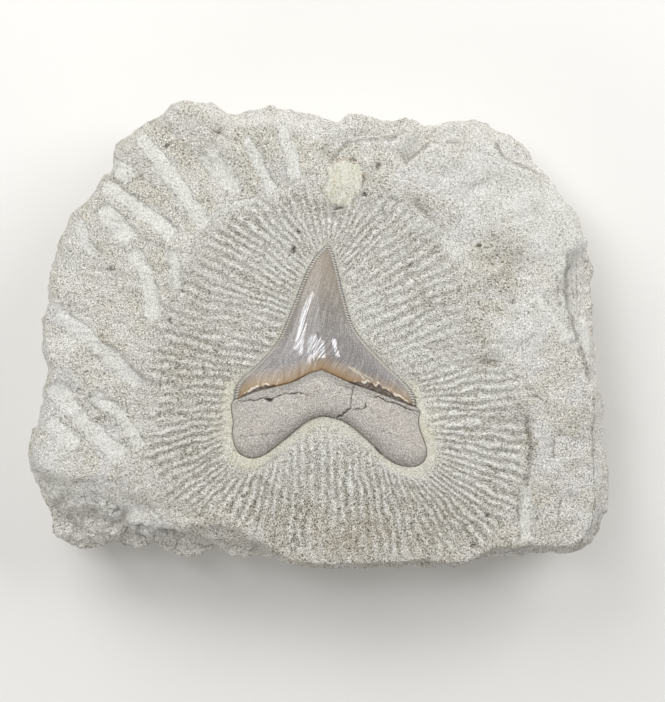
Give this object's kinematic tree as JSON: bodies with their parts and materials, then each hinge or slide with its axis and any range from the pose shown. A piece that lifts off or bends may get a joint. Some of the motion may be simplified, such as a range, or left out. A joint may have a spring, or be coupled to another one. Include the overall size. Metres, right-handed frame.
{
  "type": "fossil shark tooth in stone matrix",
  "caption": "Fossil shark tooth with serrated edges, bedded face up in a rough slab of pale sandy stone whose face is scratched in fine furrows that fan out from the tooth.",
  "frame": {"origin": "on the slab's flat back, under the middle of its length and width", "axes": "+X along the slab's length, towards the tooth's longer root lobe; +Y along its width, from the tooth's root to its tip; +Z out of the worked face"},
  "size_m": [0.1874, 0.151, 0.0414],
  "materials": {
    "sandy_stone": "matte, chalky and sandy",
    "fossil_tooth": "glossy grey enamel over a matte grey root"
  },
  "bodies": {
    "root": {"stone_slab": "sandy_stone", "shark_tooth": "fossil_tooth"}
  },
  "joints": []
}
